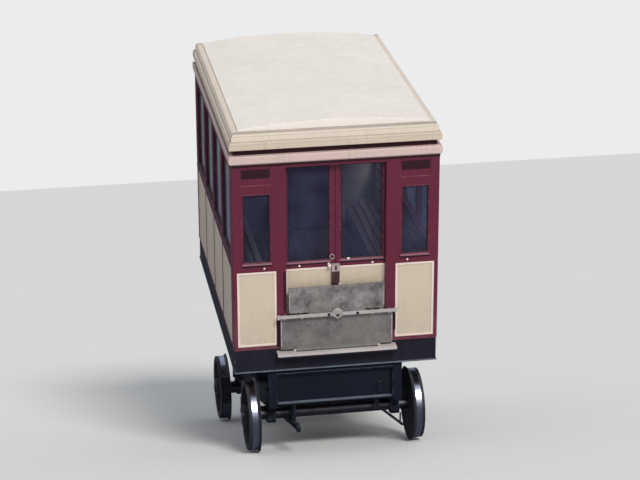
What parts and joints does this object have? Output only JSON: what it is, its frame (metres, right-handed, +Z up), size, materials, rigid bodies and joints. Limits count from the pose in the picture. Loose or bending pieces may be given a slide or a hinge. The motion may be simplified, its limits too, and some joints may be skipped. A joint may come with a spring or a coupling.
{
  "type": "funicular car",
  "caption": "Level-bodied car for an inclined railway on a wedge-shaped truck, with sliding end doors, fold-down gangway flaps and free-turning wheelsets.",
  "frame": {"origin": "midway between the four places where the wheels touch the rails", "axes": "+Z up, +Y level and downhill, +X to the right seen from the uphill end; the rails fall along +Y by 1 in 2.83"},
  "size_m": [2.23, 3.7229, 4.7504],
  "materials": {
    "maroon_paint": "gloss coach paint with soft weathering",
    "cream_panel": "gloss cream coach paint",
    "window_glass": "dark tinted glazing",
    "cornice_paint": "pale cream painted board",
    "fascia_paint": "cream painted moulding",
    "roof_paint": "off-white roof paint",
    "ceiling_board": "cream painted ceiling board",
    "varnished_wood": "varnished slats and boards",
    "handrail_brass": "worn brass tube",
    "sole_paint": "near-black frame paint, dusty",
    "truck_paint": "navy-black truck paint, dusty and oily",
    "axle_steel": "turned steel, dulled",
    "wheel_steel": "dark wheel with polished tread",
    "flap_lower_grey": "weathered grey paint",
    "flap_upper_grey": "weathered light grey paint",
    "ledge_grey": "pale worn sill",
    "door_fittings": "painted and worn door fittings"
  },
  "bodies": {
    "car": {"axleboxes": "truck_paint", "bench_left": "varnished_wood", "bench_right": "varnished_wood", "brake_gear": "truck_paint", "ceiling": "ceiling_board", "cornice": "cornice_paint", "door_gear_downhill": "door_fittings", "door_gear_uphill": "door_fittings", "end_glass_downhill": "window_glass", "end_glass_uphill": "window_glass", "end_panels_downhill": "cream_panel", "end_panels_uphill": "cream_panel", "end_wall_downhill": "maroon_paint", "end_wall_uphill": "maroon_paint", "floor_deck": "varnished_wood", "frieze": "maroon_paint", "girder_axle": "truck_paint", "girder_downhill": "truck_paint", "girder_lower": "truck_paint", "girder_uphill": "truck_paint", "girder_upper": "truck_paint", "grab_rails": "handrail_brass", "haul_bar": "truck_paint", "roof_moulding": "fascia_paint", "roof_sheet": "roof_paint", "side_frame_left": "truck_paint", "side_frame_right": "truck_paint", "side_glass_left": "window_glass", "side_glass_right": "window_glass", "side_panels_left": "cream_panel", "side_panels_right": "cream_panel", "side_wall_left": "maroon_paint", "side_wall_right": "maroon_paint", "sill_ledge_downhill": "ledge_grey", "sill_ledge_uphill": "ledge_grey", "sole_frame": "sole_paint"},
    "wheelset_uphill": {"axle_uphill": "axle_steel", "wheels_uphill": "wheel_steel"},
    "door_right_uphill": {"door_right_uphill": "maroon_paint", "door_glass_right_uphill": "window_glass", "door_lock_uphill": "door_fittings"},
    "door_left_uphill": {"door_left_uphill": "maroon_paint", "door_glass_left_uphill": "window_glass", "door_knob_uphill": "door_fittings"},
    "flap_lower_uphill": {"flap_lower_uphill": "flap_lower_grey"},
    "flap_upper_uphill": {"flap_upper_uphill": "flap_upper_grey"},
    "wheelset_downhill": {"axle_downhill": "axle_steel", "wheels_downhill": "wheel_steel"},
    "door_right_downhill": {"door_right_downhill": "maroon_paint", "door_glass_right_downhill": "window_glass", "door_lock_downhill": "door_fittings"},
    "door_left_downhill": {"door_left_downhill": "maroon_paint", "door_glass_left_downhill": "window_glass", "door_knob_downhill": "door_fittings"},
    "flap_lower_downhill": {"flap_lower_downhill": "flap_lower_grey"},
    "flap_upper_downhill": {"flap_upper_downhill": "flap_upper_grey"}
  },
  "joints": [
    {"name": "wheelset_uphill_spin", "type": "hinge", "parent": "car", "child": "wheelset_uphill", "pos_m": [0, -1.2309, 0.83797], "axis": [1, 0, 0], "continuous": true},
    {"name": "door_right_uphill_slide", "type": "slide", "parent": "car", "child": "door_right_uphill", "axis": [1, 0, 0], "range_m": [0, 0.44]},
    {"name": "door_left_uphill_slide", "type": "slide", "parent": "car", "child": "door_left_uphill", "axis": [-1, 0, 0], "range_m": [0, 0.44]},
    {"name": "flap_lower_uphill_hinge", "type": "hinge", "parent": "car", "child": "flap_lower_uphill", "pos_m": [0, -1.5309, 1.71232], "axis": [1, 0, 0], "range_deg": [0, 90]},
    {"name": "flap_upper_uphill_hinge", "type": "hinge", "parent": "flap_lower_uphill", "child": "flap_upper_uphill", "pos_m": [0, -1.5309, 2.10932], "axis": [1, 0, 0], "range_deg": [0, 20]},
    {"name": "wheelset_downhill_spin", "type": "hinge", "parent": "car", "child": "wheelset_downhill", "pos_m": [0, 1.4841, -0.12139], "axis": [1, 0, 0], "continuous": true},
    {"name": "door_right_downhill_slide", "type": "slide", "parent": "car", "child": "door_right_downhill", "axis": [1, 0, 0], "range_m": [0, 0.44]},
    {"name": "door_left_downhill_slide", "type": "slide", "parent": "car", "child": "door_left_downhill", "axis": [-1, 0, 0], "range_m": [0, 0.44]},
    {"name": "flap_lower_downhill_hinge", "type": "hinge", "parent": "car", "child": "flap_lower_downhill", "pos_m": [0, 1.9131, 1.71232], "axis": [-1, 0, 0], "range_deg": [0, 90]},
    {"name": "flap_upper_downhill_hinge", "type": "hinge", "parent": "flap_lower_downhill", "child": "flap_upper_downhill", "pos_m": [0, 1.9131, 2.10932], "axis": [-1, 0, 0], "range_deg": [0, 20]}
  ]
}
